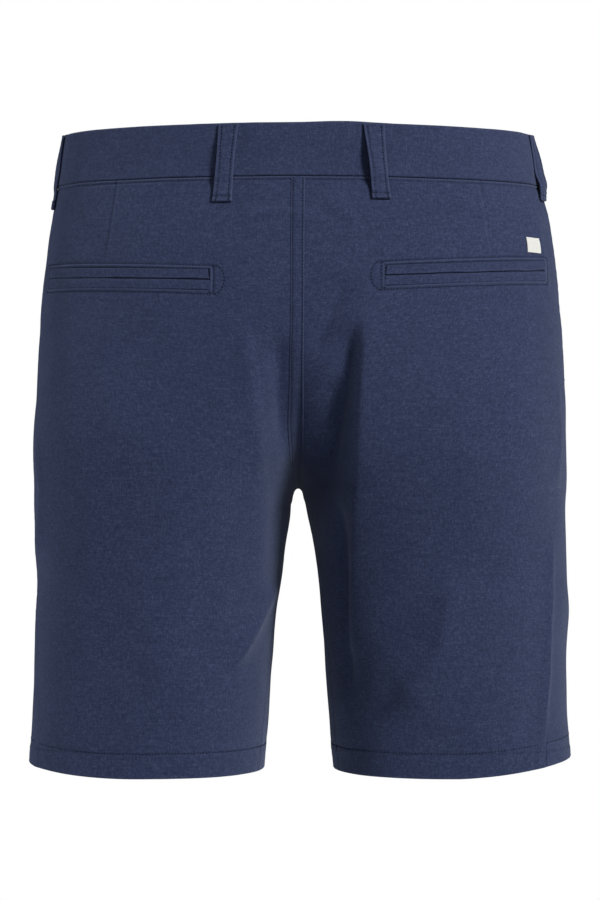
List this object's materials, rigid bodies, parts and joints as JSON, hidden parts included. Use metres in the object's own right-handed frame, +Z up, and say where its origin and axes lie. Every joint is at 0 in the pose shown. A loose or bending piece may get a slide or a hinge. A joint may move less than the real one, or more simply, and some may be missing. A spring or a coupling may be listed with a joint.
{
  "type": "bermuda shorts",
  "caption": "knee-length woven shorts held open as worn, with a belted waistband, slanted front pockets, a buttoned fly and welted back pockets",
  "frame": {"origin": "centre of the waistband's ring, half way up the band, where the wearer's waist holds the shorts", "axes": "+Z up along the wearer, +Y the way the wearer faces, +X the wearer's right"},
  "size_m": [0.4171, 0.2293, 0.4904],
  "materials": {
    "navy_cloth": "heathered plain-weave linen cloth, matt",
    "white_tape": "woven tape, matt",
    "button_resin": "dark resin, satin"
  },
  "bodies": {
    "root": {"waistband": "navy_cloth", "back_left": "navy_cloth", "back_right": "navy_cloth", "front_left": "navy_cloth", "front_right": "navy_cloth", "pocket_facing_left": "navy_cloth", "pocket_facing_right": "navy_cloth", "fly_shield": "navy_cloth", "welt_upper_left": "navy_cloth", "welt_lower_left": "navy_cloth", "welt_upper_right": "navy_cloth", "welt_lower_right": "navy_cloth", "belt_loop_back_left": "navy_cloth", "belt_loop_back_right": "navy_cloth", "belt_loop_side_left": "navy_cloth", "belt_loop_side_right": "navy_cloth", "belt_loop_front_left": "navy_cloth", "belt_loop_front_right": "navy_cloth", "label": "white_tape", "waist_button": "button_resin"}
  },
  "joints": []
}
